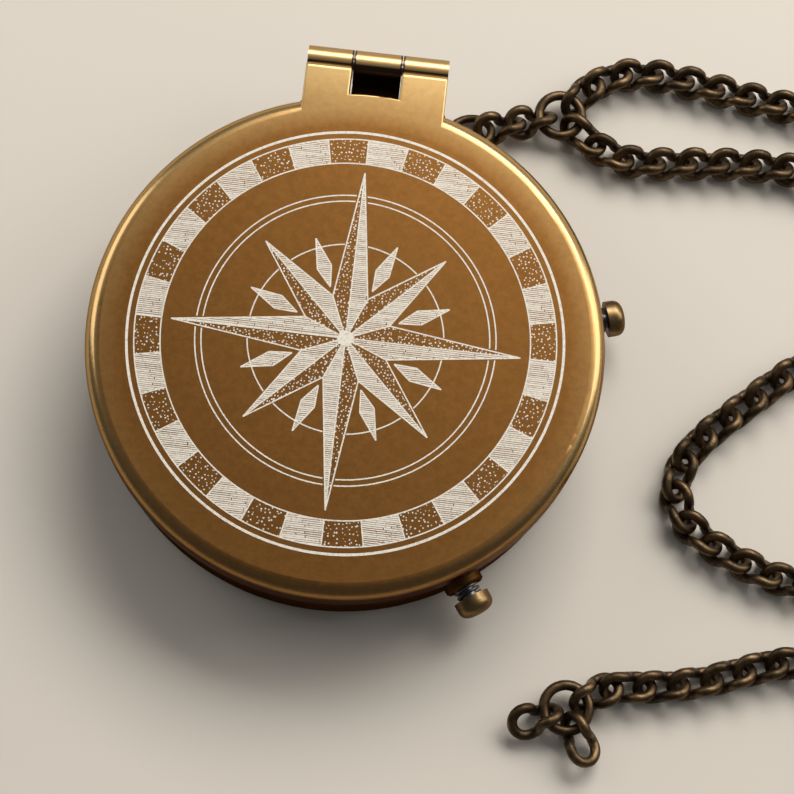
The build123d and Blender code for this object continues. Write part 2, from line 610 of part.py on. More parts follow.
def bracket_screws():
    seat = CASE_FLOOR + BRACKET_THICKNESS
    screw = disc(SCREW_RADIUS, CASE_FLOOR - SCREW_DEPTH, seat)
    screw += disc(SCREW_HEAD_RADIUS, seat, seat + SCREW_HEAD_HEIGHT)
    slot = Box(3 * SCREW_HEAD_RADIUS, SLOT_WIDTH, 2 * SLOT_DEPTH)
    screw -= Pos(0, 0, seat + SCREW_HEAD_HEIGHT) * slot
    return Compound(children=[place * screw for place in screw_places()])


def case_with_screw_holes():
    cup = case_cup()
    for place in screw_places():
        cup -= place * disc(SCREW_RADIUS + SEAT_GAP, CASE_FLOOR - SCREW_DEPTH, DIAL_Z)
    return cup


def bow_ring_frame():
    """Frame of the bow ring: X runs along the neck of the chain, and the ring leans on it."""
    heading = radians(NECK_HEADING)
    along = Vector(cos(heading), sin(heading), 0)
    lean = radians(BOW_TILT)
    normal = Vector(-sin(lean) * sin(heading), sin(lean) * cos(heading), cos(lean))
    hang = radians(-BOW_HANG_ANGLE)
    spot = (along * cos(hang) + normal.cross(along) * sin(hang)) * BOW_RING_RADIUS
    clock = radians(BOW_CLOCK)
    centre_z = link_height(NECK_ROLLS[0])
    centre = (EYE_REACH * sin(clock) - spot.X, EYE_REACH * cos(clock) - spot.Y, centre_z)
    return Plane(origin=centre, x_dir=along, z_dir=normal), centre_z + spot.Z


def bow_eye():
    """A small upright eye on the case wall that the bow ring passes through."""
    _, eye_z = bow_ring_frame()
    eye = Pos(0, EYE_REACH, eye_z) * rod(EYE_RADIUS, -EYE_THICKNESS / 2, EYE_THICKNESS / 2)
    root_y = CASE_RADIUS - LUG_ROOT_DEPTH
    root = side_extrusion([
        (root_y, eye_z - EYE_RADIUS), (EYE_REACH, eye_z - EYE_RADIUS),
        (EYE_REACH, eye_z + EYE_RADIUS), (root_y, eye_z + EYE_RADIUS),
    ], EYE_THICKNESS)
    bore = Pos(0, EYE_REACH, eye_z) * rod(EYE_BORE, -EYE_RADIUS, EYE_RADIUS)
    eye = eye + root - bore - disc(CASE_RADIUS + SEAT_GAP, 0, CASE_HEIGHT)
    return Rot(0, 0, -BOW_CLOCK) * eye


def bow_ring():
    frame, _ = bow_ring_frame()
    return frame * Torus(BOW_RING_RADIUS, BOW_WIRE / 2)


def chain_link():
    """One curb link along X: two round ends turned about X and joined by crossing sides."""
    side = LINK_END_RADIUS * cos(radians(LINK_TWIST))
    rise = LINK_END_RADIUS * sin(radians(LINK_TWIST))
    bend = (LINK_END_OFFSET ** 2 + rise ** 2) / (2 * rise)
    half_turn = asin(LINK_END_OFFSET / bend) / 2
    mid_x = LINK_END_OFFSET - bend * sin(half_turn)
    mid_z = rise - bend * (1 - cos(half_turn))
    near = (LINK_END_OFFSET, side, -rise)
    far = (LINK_END_OFFSET, -side, rise)
    path = Wire([
        ThreePointArc((0, side, 0), (mid_x, side, -mid_z), near),
        ThreePointArc(near, (LINK_HALF_LENGTH, 0, 0), far),
        ThreePointArc(far, (mid_x, -side, mid_z), (0, -side, 0)),
    ])
    half = sweep(Plane(path @ 0, z_dir=path % 0) * Circle(LINK_WIRE / 2), path=path)
    return half + Rot(0, 180, 0) * half


def link_height(roll):
    """Height at which a rolled link just clears the table."""
    tilt = radians(min(90.0, LINK_TWIST + abs(roll)))
    return CHAIN_FLOOR_GAP + LINK_WIRE / 2 + LINK_END_RADIUS * sin(tilt)


def pitch_points(route):
    """Joints at even pitch along a smooth curve through the route."""
    curve = Spline(*[(x, y, 0) for x, y in route])
    joints = [curve @ 0]
    for i in range(1, ROUTE_SAMPLES + 1):
        step = curve @ (i / ROUTE_SAMPLES) - joints[-1]
        if step.length >= LINK_PITCH:
            joints.append(joints[-1] + step.normalized() * LINK_PITCH)
    return joints


def strand_rolls(count):
    """Links near the rings at both ends of a strand are rolled to pass through them."""
    rolls = [0.0] * count
    for i, roll in enumerate(RING_ROLLS):
        rolls[i] = roll
        rolls[count - 1 - i] = -roll
    return rolls


def links_along(joints, rolls):
    link = chain_link()
    links = []
    for start, end, roll in zip(joints, joints[1:], rolls):
        middle = (start + end) / 2
        origin = (middle.X, middle.Y, link_height(roll))
        frame = Plane(origin=origin, x_dir=end - start, z_dir=(0, 0, 1))
        links.append(frame * Rot(roll, 0, 0) * link)
    return links


def strand(ring_centre, route):
    """A strand that leaves a flat ring along a route, and the centre of its end ring."""
    along = (Vector(*route[0], 0) - ring_centre).normalized()
    first = ring_centre + along * (RING_RADIUS - LINK_REACH)
    joints = pitch_points([(first.X, first.Y)] + route)
    links = links_along(joints, strand_rolls(len(joints) - 1))
    along = (joints[-1] - joints[-2]).normalized()
    return links, joints[-1] + along * (RING_RADIUS - LINK_REACH)


def end_links(ring_centre):
    """Loose links that hang from the ring at the end of the main strand."""
    links = []
    for heading in END_LINK_HEADINGS:
        along = Vector(cos(radians(heading)), sin(radians(heading)), 0)
        first = ring_centre + along * (RING_RADIUS - LINK_REACH)
        links += links_along([first, first + along * LINK_PITCH], RING_ROLLS)
    return links


def flat_ring(centre):
    height = link_height(RING_ROLLS[0])
    return Pos(centre.X, centre.Y, height) * Torus(RING_RADIUS, LINK_WIRE / 2)


def chain_parts():
    bow_frame, _ = bow_ring_frame()
    along = bow_frame.x_dir
    begin = Vector(bow_frame.origin.X, bow_frame.origin.Y, 0)
    begin += along * (BOW_RING_RADIUS - LINK_REACH)
    neck_joints = [begin + along * (LINK_PITCH * i) for i in range(len(NECK_ROLLS) + 1)]
    neck = links_along(neck_joints, [-roll for roll in NECK_ROLLS])
    junction = neck_joints[-1] + along * (RING_RADIUS - LINK_REACH)
    main, main_end = strand(junction, MAIN_ROUTE)
    branch, branch_end = strand(junction, BRANCH_ROUTE)
    return {
        "chain_neck": Compound(children=neck),
        "chain_junction_ring": flat_ring(junction),
        "chain_main": Compound(children=main),
        "chain_main_end_ring": flat_ring(main_end),
        "chain_end_links": Compound(children=end_links(main_end)),
        "chain_branch": Compound(children=branch),
        "chain_branch_end_ring": flat_ring(branch_end),
    }


def all_parts():
    parts = {
        "case_cup": case_with_screw_holes(),
        "case_hinge_lug": case_hinge_lug(),
        "hinge_pin": hinge_pin(),
        "lid_shell": lid_shell(),
        "lid_catch": lid_catch(),
        "dial_spacer": dial_spacer(),
        "dial_plate": dial_plate(),
        "chapter_ring": chapter_ring(),
        "crystal_gasket": crystal_gasket(),
        "crystal": crystal(),
        "bezel_ring": bezel_ring(),
        "pivot_post": pivot_post(),
        "needle_blade": needle_blade(),
        "needle_cap": needle_cap(),
        "needle_jewel": needle_jewel(),
        "latch_collar": button_collar(LATCH_CLOCK),
        "latch_head": button_head(LATCH_CLOCK),
        "latch_stem": latch_stem(),
        "latch_spring": button_spring(LATCH_CLOCK),
        "lock_collar": button_collar(LOCK_CLOCK),
        "lock_head": button_head(LOCK_CLOCK),
        "lock_stem": lock_stem(),
        "lock_spring": button_spring(LOCK_CLOCK),
        "lifter_lever": lifter_lever(),
        "lifter_sleeve": lifter_sleeve(),
        "lifter_bracket": lifter_bracket(),
        "fulcrum_pin": fulcrum_pin(),
        "bracket_screws": bracket_screws(),
        "bow_eye": bow_eye(),
        "bow_ring": bow_ring(),
    }
    parts.update(chain_parts())
    return parts


os.makedirs("parts", exist_ok=True)
for node, solid in all_parts().items():
    solid.label = node
    export_step(solid, f"parts/{node}.step")
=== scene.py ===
"""Finishes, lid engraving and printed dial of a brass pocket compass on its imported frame."""
import json
import math
import random

import bmesh
import bpy
from mathutils import Matrix, Vector

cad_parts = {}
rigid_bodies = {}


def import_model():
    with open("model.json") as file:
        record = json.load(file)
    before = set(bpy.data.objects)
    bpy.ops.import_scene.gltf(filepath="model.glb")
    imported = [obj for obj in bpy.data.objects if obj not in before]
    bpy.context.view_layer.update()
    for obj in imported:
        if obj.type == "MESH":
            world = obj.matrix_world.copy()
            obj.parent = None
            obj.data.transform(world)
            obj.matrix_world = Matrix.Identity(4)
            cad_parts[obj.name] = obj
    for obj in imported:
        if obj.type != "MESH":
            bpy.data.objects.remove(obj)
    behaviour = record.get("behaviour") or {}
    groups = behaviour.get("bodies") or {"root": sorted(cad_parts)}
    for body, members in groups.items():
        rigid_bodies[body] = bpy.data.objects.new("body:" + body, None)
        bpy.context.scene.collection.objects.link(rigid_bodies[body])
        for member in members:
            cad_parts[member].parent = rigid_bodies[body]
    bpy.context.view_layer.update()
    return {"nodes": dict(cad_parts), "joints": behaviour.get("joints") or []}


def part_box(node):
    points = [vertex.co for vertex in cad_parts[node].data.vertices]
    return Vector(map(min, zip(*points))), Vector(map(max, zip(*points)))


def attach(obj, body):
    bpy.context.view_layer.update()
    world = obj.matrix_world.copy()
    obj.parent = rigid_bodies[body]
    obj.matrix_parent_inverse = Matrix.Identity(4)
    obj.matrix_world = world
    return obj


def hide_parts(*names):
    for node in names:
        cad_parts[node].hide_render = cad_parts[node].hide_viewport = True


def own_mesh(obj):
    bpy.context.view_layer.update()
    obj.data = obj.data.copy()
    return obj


bl_info = {
    "name": "Brass pocket compass",
    "version": (1, 0, 0),
    "blender": (4, 5, 0),
    "location": "View3D > Sidebar > Compass",
    "description": "Finishes, lid engraving and printed dial of a pocket compass",
    "category": "Object",
}

for startup in list(bpy.data.objects):
    bpy.data.objects.remove(startup)
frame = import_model()
NODES = frame["nodes"]
DIAL_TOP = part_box("dial_plate")[1][2]
MM = 0.001

# Places on the lid where its wear, its painted highlights and its painted shade start, and the spans
# over which they grow
LID_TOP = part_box("lid_shell")[1][2]
LID_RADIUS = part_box("lid_shell")[1][0]
INNER_WALL = LID_RADIUS - 0.8 * MM
RING_START = LID_RADIUS - 3.5 * MM
RING_SPAN = 2.5 * MM
TAB_START = LID_RADIUS - 1.5 * MM
TAB_SPAN = 5 * MM
FRONT_START = -0.88 * LID_RADIUS
FRONT_SPAN = LID_RADIUS / 1.5
DEPTH_SPAN = 2 * MM
KNUCKLE_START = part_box("hinge_pin")[0][1] - 0.5 * MM
KNUCKLE_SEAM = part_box("case_hinge_lug")[1][0] + 0.04 * MM

# Brush marks and grain, as how often they repeat along X, Y and Z, their relief, and the lacquer
LEVEL_BRUSH = (260, 5200, 260)
UPRIGHT_BRUSH = (400, 400, 6000)
EVEN_GRAIN = (900, 900, 900)
BRUSH_BUMP = 0.06
BUMP_DEPTH = 0.02 * MM
LACQUER_ROUGHNESS = 0.14

# Hatching strokes in hatch pitches, and stippled dots in their own pitch and size
STROKE_RUN = (6, 22)
STROKE_HALF_WIDTH = (0.27, 0.46)
STROKE_BREAK = (0.1, 0.5)
SHORTEST_STROKE = 0.2
DOT_SPOT = (0.1, 0.9)
DOT_SIZE = (0.6, 1.25)
DOT_SHARE = 0.85
DOT_SIDES = 6

# Heights of rings and strokes above the etch, in reliefs, to keep crossing tops apart
RING_TIER = 0.6
STROKE_TIERS = (0.15, 0.23, 0.31, 0.39, 0.47)

# Roses and rings: counts, turns in degrees, and dots and hub in line widths
POINTS = 8
POINT_TURN = 360 / POINTS
DIAMOND_SPREAD = 5.5
BLOCKS = 32
BLOCK_TURN = 360 / BLOCKS
BLOCK_STEPS = 8
ARC_CLEARANCE = 0.8
ARC_STEPS = 14
EDGE_SAMPLES = 100
LID_RING_STEPS = 240
DIAL_RING_STEPS = 180
HUB_SIDES = 24
HUB_RADIUS = 6
POINT_DOTS = {"pitch": 2.5, "size": 0.62}
BLOCK_DOTS = {"pitch": 3.0, "size": 0.6}

# Chain routes on the table, in millimetres, from the junction ring to the end rings
MAIN_ROUTE = [
    (19.8, 30.6), (22.5, 33.2), (25.4, 34.7), (28.8, 35.0), (36.0, 34.0), (43.2, 33.0),
    (50.0, 31.8), (57.0, 27.6), (60.2, 20.6), (58.2, 13.8), (52.0, 8.8), (44.9, 4.8),
    (40.6, 0.9), (37.0, -2.5), (34.8, -5.3), (33.9, -8.4), (35.0, -11.5), (37.7, -13.6),
    (41.4, -15.3), (46.1, -16.6), (51.5, -16.0), (57.5, -14.2), (63.4, -15.6), (66.6, -20.6),
    (64.6, -26.2), (59.0, -28.2), (53.4, -26.0), (48.8, -24.2), (44.0, -25.0), (38.3, -27.2),
    (34.9, -28.0), (31.6, -28.5), (28.5, -29.0), (25.8, -30.8),
]
BRANCH_ROUTE = [
    (19.8, 29.5), (22.5, 26.7), (25.5, 25.3), (28.9, 25.2), (32.4, 25.6), (36.9, 26.1),
    (42.0, 26.3), (49.3, 25.4),
]
CHAIN_HEIGHT = 0.0014

# Floor, lamps and the bright side of the room
FLOOR_RADIUS = 1.6
FLOOR_SIDES = 96
FLOOR_DROP = 0.02 * MM
LAMP_AIM = (0, 0, 0.01)
LAMPS = {
    "key_lamp": {"place": (0.16, 0.42, 0.46), "size": (0.5, 0.3), "tint": (1.0, 0.97, 0.92)},
    "rim_lamp": {"place": (0.34, 0.15, 0.20), "size": (0.2, 0.3), "tint": (1.0, 0.96, 0.9)},
    "fill_lamp": {"place": (-0.40, 0.20, 0.22), "size": (0.3, 0.3), "tint": (1.0, 0.97, 0.93)},
}
BRIGHT_SIDE = (0.36, 0.75, 0.555)

# Camera at the photograph's viewing angle
CAMERA_PLACE = (0.00303, -0.05531, 0.21569)
CAMERA_RIGHT = (0.9934, 0.1136, 0.0161)
CAMERA_UP = (-0.1139, 0.9582, 0.2624)
CAMERA_BACK = (0.0144, -0.2625, 0.9648)
CAMERA_LENS = 100
CAMERA_SENSOR = 36
CAMERA_SHIFT = (0.0649, -0.0741)
CAMERA_NEAR = 0.005


def colour_property(label, text, value):
    return bpy.props.FloatVectorProperty(
        name=label, description=text, subtype="COLOR", size=3, min=0, max=1, default=value
    )


def length_property(label, text, value):
    return bpy.props.FloatProperty(
        name=label, description=text, unit="LENGTH", min=0, precision=5, default=value
    )


class CompassFinishes(bpy.types.PropertyGroup):
    """Colours of the metals, the dial and the needle."""

    brass_rubbed: colour_property(
        "Rubbed brass", "Brass where handling has polished it", (0.275, 0.123, 0.030))
    brass_toned: colour_property(
        "Toned brass", "Brass where the brown patina is thick", (0.15, 0.063, 0.0125))
    # Bare brass: real wear on edges, and also the colour of the painted highlights on the lid's rim,
    # tab, ring and knuckles.
    brass_bare: colour_property(
        "Bare brass", "Edges that handling has worn through", (0.50, 0.325, 0.13))
    # Painted shade: this nearly black brass stands on the lid's low sides, in its notch and crease, on
    # the whole case cup, collars and bow eye, and in the patina of the button heads.
    brass_dark: colour_property(
        "Dark brass", "Low sides where the patina is nearly black", (0.045, 0.021, 0.008))
    bronze_rubbed: colour_property(
        "Rubbed bronze", "High spots of the chain and the bow", (0.20, 0.128, 0.064))
    bronze_toned: colour_property(
        "Toned bronze", "Dark patina of the chain and the bow", (0.036, 0.024, 0.0145))
    etch: colour_property("Etch", "Pale etched lines on the lid", (0.78, 0.735, 0.65))
    steel: colour_property("Steel", "Springs, pins and screws", (0.50, 0.50, 0.51))
    dial: colour_property("Dial", "Cream enamel of the dial", (0.84, 0.74, 0.55))
    ink: colour_property("Ink", "Dial print", (0.035, 0.028, 0.022))
    north: colour_property("North", "Painted half of the needle", (0.42, 0.03, 0.022))
    south: colour_property("South", "Blued half of the needle", (0.045, 0.06, 0.11))
    ruby: colour_property("Ruby", "Jewel of the needle cap", (0.45, 0.02, 0.05))


class CompassEngraving(bpy.types.PropertyGroup):
    """Sizes of the wind rose etched on the lid."""

    border_radius: length_property("Border", "Radius of the outer line", 0.0209)
    scale_outer: length_property("Scale outside", "Outer radius of the divided ring", 0.0202)
    scale_inner: length_property("Scale inside", "Inner radius of the divided ring", 0.0177)
    long_point: length_property("Long points", "Reach of the four main points", 0.0168)
    short_point: length_property("Short points", "Reach of the four diagonal points", 0.0124)
    shoulder: length_property("Shoulders", "Radius where two points meet", 0.0044)
    diamond_foot: length_property("Diamond foot", "Radius of a diamond's inner corner", 0.0053)
    diamond_waist: length_property("Diamond waist", "Radius of its two side corners", 0.0074)
    diamond_tip: length_property("Diamond tip", "Radius of its outer corner", 0.0104)
    pair_inner: length_property("Pair inside", "Smaller of the two close circles", 0.0138)
    pair_outer: length_property("Pair outside", "Larger of the two close circles", 0.0144)
    small_circle: length_property("Small circle", "Circle through the diamonds", 0.0094)
    line: length_property("Line", "Width of a fine line", 0.00013)
    hatch_pitch: length_property("Hatch pitch", "Spacing of the hatching strokes", 0.0002)
    relief: length_property("Relief", "Height of the etch above the lid", 0.00001)
    seed: bpy.props.IntProperty(name="Seed", description="Hand of the engraver", default=11)


class CompassDial(bpy.types.PropertyGroup):
    """Sizes of the print on the dial."""

    border: length_property("Border", "Radius of the outer circle", 0.0198)
    circle_outer: length_property("Outer circle", "Larger circle inside the figures", 0.0141)
    circle_inner: length_property("Inner circle", "Smaller circle inside the figures", 0.0126)
    circle_width: length_property("Circle width", "Width of the three circles", 0.00012)
    mark_end: length_property("Mark end", "Radius where all marks end", 0.0197)
    thirty_start: length_property("Thirties", "Radius where the thirties start", 0.0178)
    thirty_width: length_property("Thirty width", "Width of the thirties", 0.00022)
    ten_start: length_property("Tens", "Radius where the tens start", 0.0182)
    ten_width: length_property("Ten width", "Width of the tens", 0.00016)
    two_start: length_property("Twos", "Radius where the twos start", 0.0189)
    two_width: length_property("Two width", "Width of the twos", 0.00008)
    figure_size: length_property("Figures", "Height of the degree figures", 0.0021)
    figure_radius: length_property("Figure radius", "Distance from the centre", 0.0163)
    letter_size: length_property("Letters", "Height of the four letters", 0.0034)
    letter_radius: length_property("Letter radius", "Distance from the centre", 0.0160)
    long_point: length_property("Long points", "Reach of the four main points", 0.0118)
    short_point: length_property("Short points", "Reach of the four diagonal points", 0.0082)
    shoulder: length_property("Shoulders", "Radius where two points meet", 0.0033)
    foot: length_property("Foot", "Radius where a point starts", 0.0022)
    line: length_property("Line", "Width of the rose's outlines", 0.0001)
    relief: length_property("Relief", "Height of the print above the dial", 0.00001)


class CompassStage(bpy.types.PropertyGroup):
    """Floor, lamps and world."""

    floor: colour_property("Floor", "Colour of the plain floor", (0.66, 0.61, 0.54))
    key_power: bpy.props.FloatProperty(
        name="Key lamp", description="Power of the large lamp behind the hinge",
        unit="POWER", min=0, default=3.8)
    rim_power: bpy.props.FloatProperty(
        name="Rim lamp", description="Power of the lamp on the right", unit="POWER", min=0,
        default=0.5)
    fill_power: bpy.props.FloatProperty(
        name="Fill lamp", description="Power of the lamp on the left", unit="POWER", min=0,
        default=0.6)
    world_low: bpy.props.FloatProperty(
        name="World low", description="Level of the dim side of the room", min=0, default=0.11)
    world_high: bpy.props.FloatProperty(
        name="World high", description="Level of the bright side of the room", min=0,
        default=0.5)


class Shade:
    """A shader socket that takes part in sums and products of values."""

    def __init__(self, tree, socket=None):
        self.tree = tree
        self.socket = socket

    def node(self, kind, settings=(), sockets=(), output=0):
        """Adds a node, makes its settings, then fills or links its sockets."""
        made = self.tree.nodes.new(kind)
        for name, value in dict(settings).items():
            if name == "stops":
                stops = made.color_ramp.elements
                while len(stops) < len(value):
                    stops.new(1)
                for stop, (position, level) in zip(stops, value):
                    stop.position = position
                    stop.color = (level, level, level, 1)
            else:
                setattr(made, name, value)
        for key, value in dict(sockets).items():
            if isinstance(value, Shade):
                self.tree.links.new(value.socket, made.inputs[key])
            else:
                made.inputs[key].default_value = value
        return Shade(self.tree, None if output is None else made.outputs[output])

    def math(self, operation, first, second):
        return self.node("ShaderNodeMath", {"operation": operation}, {0: first, 1: second})

    def __add__(self, other):
        return self.math("ADD", self, other)

    __radd__ = __add__

    def __mul__(self, other):
        return self.math("MULTIPLY", self, other)

    __rmul__ = __mul__

    def __sub__(self, other):
        return self.math("SUBTRACT", self, other)

    def __rsub__(self, other):
        return self.math("SUBTRACT", other, self)

    def __truediv__(self, other):
        return self.math("DIVIDE", self, other)

    def __rtruediv__(self, other):
        return self.math("DIVIDE", other, self)

    def __abs__(self):
        return self.math("ABSOLUTE", self, 0.0)

    def __gt__(self, other):
        return self.math("GREATER_THAN", self, other)

    def __lt__(self, other):
        return self.math("LESS_THAN", self, other)

    def ramp(self, *stops):
        return self.node("ShaderNodeValToRGB", {"stops": stops}, {0: self})

    def between(self, low, high):
        """The colour that lies between two by this value."""
        settings = {"data_type": "RGBA", "clamp_factor": True}
        return self.node("ShaderNodeMix", settings, {0: self, 6: low, 7: high}, 2)


def opaque(colour):
    return (*colour, 1)


def scaled(colour, share):
    return [share * part for part in colour]


def start_finish(name):
    material = bpy.data.materials.new(name)
    material.use_nodes = True
    material.node_tree.nodes.clear()
    return material, Shade(material.node_tree)


def place_of(shade, scale=(1, 1, 1)):
    """Position on the piece, stretched along its axes."""
    spot = shade.node("ShaderNodeTexCoord", output="Object")
    return shade.node("ShaderNodeMapping", {}, {"Vector": spot, "Scale": scale})


def noise(shade, place, scale, detail, roughness):
    sockets = {"Vector": place, "Scale": scale, "Detail": detail, "Roughness": roughness}
    return shade.node("ShaderNodeTexNoise", {}, sockets)


def end_finish(shade, sockets, bump=None, strength=None):
    """Joins the sockets to a surface, with the relief of its grain where there is one."""
    if bump is not None:
        relief = {"Strength": strength, "Distance": BUMP_DEPTH, "Height": bump}
        sockets["Normal"] = shade.node("ShaderNodeBump", {}, relief)
    surface = shade.node("ShaderNodeBsdfPrincipled", {}, sockets)
    shade.node("ShaderNodeOutputMaterial", {}, {"Surface": surface}, None)


def brass_grain(shade, place, gloss, grain):
    """How far the patina is rubbed off, the roughness, and the height of the brush marks."""
    clouds = noise(shade, place, scale=70, detail=6, roughness=0.6)
    specks = noise(shade, place, scale=1500, detail=3, roughness=0.7)
    brush = noise(shade, place_of(shade, grain), scale=1, detail=3, roughness=0.6)
    mottle = specks.ramp((0.36, 0.0), (0.64, 1.0))
    wear = clouds.ramp((0.28, 0.35), (0.72, 0.85)) * 0.75 + mottle * 0.3
    roughness = gloss + 0.14 * (1 - clouds) + 0.08 * brush
    return wear, roughness, brush * 0.7 + specks * 0.3


def antique_brass(name, rubbed, toned, gloss, grain=LEVEL_BRUSH, lacquer=0.3):
    """Satin brass under a brown patina, with fine brush marks or an even grain."""
    material, shade = start_finish(name)
    wear, roughness, bump = brass_grain(shade, place_of(shade), gloss, grain)
    end_finish(shade, {
        "Base Color": wear.between(opaque(toned), opaque(rubbed)), "Metallic": 1.0,
        "Roughness": roughness, "Coat Weight": lacquer, "Coat Roughness": LACQUER_ROUGHNESS,
        "Specular Tint": opaque(rubbed),
    }, bump, BRUSH_BUMP)
    return material


def lid_brass(name, tones, gloss):
    """Patinated brass, bare on the rounded edges and the knuckles as wear and painted highlight, nearly
    black low down as painted shade.
    """
    material, shade = start_finish(name)
    place = place_of(shade)
    wear, roughness, bump = brass_grain(shade, place, gloss, LEVEL_BRUSH)
    across, along, height = (
        shade.node("ShaderNodeSeparateXYZ", {}, {0: place}, axis) for axis in "XYZ")
    level = shade.node("ShaderNodeCombineXYZ", {}, {0: across, 1: along})
    reach = shade.node("ShaderNodeVectorMath", {"operation": "LENGTH"}, {0: level}, "Value")
    depth = (LID_TOP - height) / DEPTH_SPAN
    below_top = depth > 0.1
    outside = shade.math("MAXIMUM", reach > INNER_WALL, depth < 0.3)
    past_tab = (along - KNUCKLE_START) / MM
    knuckle = past_tab.ramp((0.52, 0.0), (0.72, 1.0))
    # Painted shade in the crease at the foot of the knuckles, where they meet the tab.
    groove_shade = past_tab.ramp((0.0, 0.0), (0.03, 0.75)) * (1 - knuckle) * below_top
    # The rounded rim is bare brass, partly real wear and partly painted highlight; the painted
    # highlight fades toward the front, away from the lamps.
    highlight_behind_front = ((along - FRONT_START) / FRONT_SPAN).ramp((0.0, 0.3), (1.0, 1.0))
    rounding = depth.ramp((0.004, 0.0), (0.05, 1.0), (0.4, 1.0), (0.7, 0.0))
    edge_wear_and_highlight = outside * highlight_behind_front * rounding
    # Painted highlight: the tab grows lighter toward the hinge.
    tab = ((along - TAB_START) / TAB_SPAN).ramp((0.0, 0.0), (0.9, 0.75))
    # Painted highlight: a lighter band on the flat just inside the rim, stronger toward the hinge side.
    ring = ((reach - RING_START) / RING_SPAN).ramp((0.0, 0.0), (0.8, 0.6))
    ring_highlight_on_top = ring * depth.ramp((0.05, 1.0), (0.3, 0.0))
    highlight_toward_hinge = 0.5 + along / (2 * LID_RADIUS)
    # Real wear and painted highlights together; the knuckles are painted bright, partly as real wear
    # and partly as painted highlight.
    worn = edge_wear_and_highlight + knuckle + tab + ring_highlight_on_top * highlight_toward_hinge + 0.45 * (1 - outside)
    # Painted shade on the walls of the notch beside the centre knuckle.
    from_seam = abs(abs(across) - KNUCKLE_SEAM) / MM
    seam_shade = from_seam.ramp((0.14, 1.0), (0.26, 0.0)) * below_top * tab
    # Painted shade: the lid's low sides and the lower part of the hinge lug turn nearly black.
    side = outside * depth.ramp((0.4, 0.0), (0.75, 1.0)) * (1 - knuckle)
    painted_shade = side + 2 * seam_shade + groove_shade
    patina = wear.between(opaque(tones.brass_toned), opaque(tones.brass_rubbed))
    # The patina turns toward bare brass where the wear and the painted highlights lie.
    rubbed = (worn * (0.55 + 0.45 * wear)).between(patina, opaque(tones.brass_bare))
    end_finish(shade, {
        "Base Color": painted_shade.between(rubbed, opaque(tones.brass_dark)), "Metallic": 1.0,
        "Roughness": roughness - 0.13 * edge_wear_and_highlight, "Coat Weight": 0.15 + 0.25 * worn,
        "Coat Roughness": LACQUER_ROUGHNESS, "Specular Tint": opaque(tones.brass_bare),
    }, bump, BRUSH_BUMP)
    return material


def dark_bronze(name, rubbed, toned):
    """Bronze with a nearly black patina, rubbed bright in small patches."""
    material, shade = start_finish(name)
    place = place_of(shade)
    patches = noise(shade, place, scale=420, detail=4, roughness=0.65)
    specks = noise(shade, place, scale=2600, detail=3, roughness=0.7)
    wear = patches.ramp((0.42, 0.0), (0.72, 1.0)) * 0.8 + specks * 0.22
    end_finish(shade, {
        "Base Color": wear.between(opaque(toned), opaque(rubbed)),
        "Metallic": 1.0,
        "Roughness": 0.30 + 0.28 * (1 - patches),
    }, specks, 0.12)
    return material


def satin_steel(name, tone):
    material, shade = start_finish(name)
    streaks = noise(shade, place_of(shade, UPRIGHT_BRUSH), scale=1, detail=3, roughness=0.6)
    colour = streaks.between(opaque(scaled(tone, 0.75)), opaque(tone))
    end_finish(shade, {
        "Base Color": colour, "Metallic": 1.0, "Roughness": 0.24 + 0.16 * streaks,
    }, streaks, 0.05)
    return material


def etched_line(name, tone):
    """Pale matt etch, broken by the grain of the metal under it."""
    material, shade = start_finish(name)
    place = place_of(shade)
    grain = noise(shade, place, scale=5200, detail=2, roughness=0.6)
    clouds = noise(shade, place, scale=160, detail=4, roughness=0.6)
    shadow = [0.62 * tone[0], 0.56 * tone[1], 0.48 * tone[2]]
    mask = grain.ramp((0.30, 0.0), (0.52, 1.0)) * 0.7 + clouds * 0.45
    end_finish(shade, {
        "Base Color": mask.between(opaque(shadow), opaque(tone)),
        "Metallic": 0.15,
        "Roughness": 0.5 + 0.2 * grain,
    }, grain, 0.15)
    return material


def printed(name, tone, roughness):
    material, shade = start_finish(name)
    mottle = noise(shade, place_of(shade), scale=900, detail=3, roughness=0.6)
    pale = [min(1.0, 1.25 * part + 0.012) for part in tone]
    end_finish(shade, {
        "Base Color": mottle.between(opaque(tone), opaque(pale)),
        "Roughness": roughness + 0.1 * mottle,
    }, mottle, 0.05)
    return material


def painted_needle(name, north, south):
    """Blued steel with a painted north half, split across the pivot."""
    material, shade = start_finish(name)
    spot = shade.node("ShaderNodeTexCoord", output="Object")
    along = shade.node("ShaderNodeSeparateXYZ", {}, {0: spot}, "Y")
    half = along > 0.0
    mottle = noise(shade, place_of(shade), scale=1400, detail=3, roughness=0.6)
    colour = half.between(opaque(south), opaque(north))
    end_finish(shade, {
        "Base Color": colour,
        "Metallic": 0.85 * (1 - half),
        "Roughness": 0.22 + 0.14 * mottle,
    }, mottle, 0.05)
    return material


def clear_glass(name):
    material, shade = start_finish(name)
    end_finish(shade, {
        "Base Color": (0.97, 0.985, 0.98, 1), "Roughness": 0.02, "IOR": 1.5,
        "Transmission Weight": 1.0,
    })
    return material


def ruby_jewel(name, tone):
    material, shade = start_finish(name)
    end_finish(shade, {
        "Base Color": opaque(tone), "Roughness": 0.06, "IOR": 1.76, "Transmission Weight": 0.7,
    })
    return material


def black_rubber(name):
    material, shade = start_finish(name)
    grain = noise(shade, place_of(shade), scale=2400, detail=3, roughness=0.6)
    end_finish(shade, {
        "Base Color": grain.between((0.012, 0.012, 0.012, 1), (0.035, 0.034, 0.033, 1)),
        "Roughness": 0.55 + 0.2 * grain,
    }, grain, 0.2)
    return material


def finish_nodes(material, *names):
    for name in names:
        for slot in NODES[name].material_slots:
            slot.material = material


